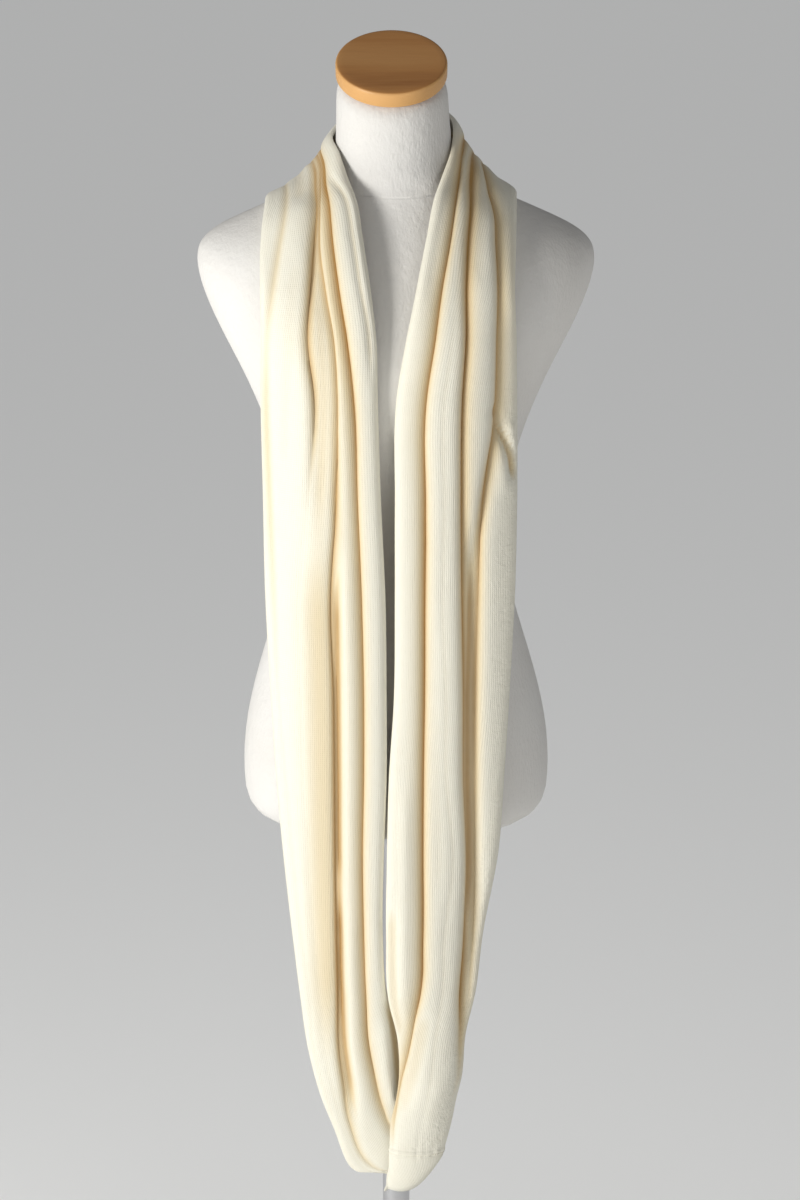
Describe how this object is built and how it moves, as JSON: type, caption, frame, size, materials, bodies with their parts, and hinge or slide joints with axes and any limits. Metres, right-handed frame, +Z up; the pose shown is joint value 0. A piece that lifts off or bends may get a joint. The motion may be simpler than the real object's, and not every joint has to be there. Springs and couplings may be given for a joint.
{
  "type": "infinity scarf on a limbless dress form",
  "caption": "Ivory jersey infinity scarf hung once round the neck of a plain limbless dress form with a wooden neck cap, on a pole stand.",
  "frame": {"origin": "middle of the stand base's underside, on the floor", "axes": "+Z up along the pole, -Y the front that the scarf's panels face, +X the viewer's right"},
  "size_m": [0.385, 0.38, 1.5247],
  "materials": {
    "jersey": "ivory cotton jersey, matte, two layers",
    "form_cover": "white tight cloth cover, matte",
    "cap_wood": "oiled orange-brown wood, satin",
    "stand_metal": "satin steel"
  },
  "bodies": {
    "root": {"stand_base": "stand_metal", "stand_pole": "stand_metal", "form_torso": "form_cover", "form_neck_cap": "cap_wood", "scarf_right_front": "jersey", "scarf_behind_neck": "jersey", "scarf_left_front": "jersey", "scarf_bottom_turn": "jersey"}
  },
  "joints": []
}
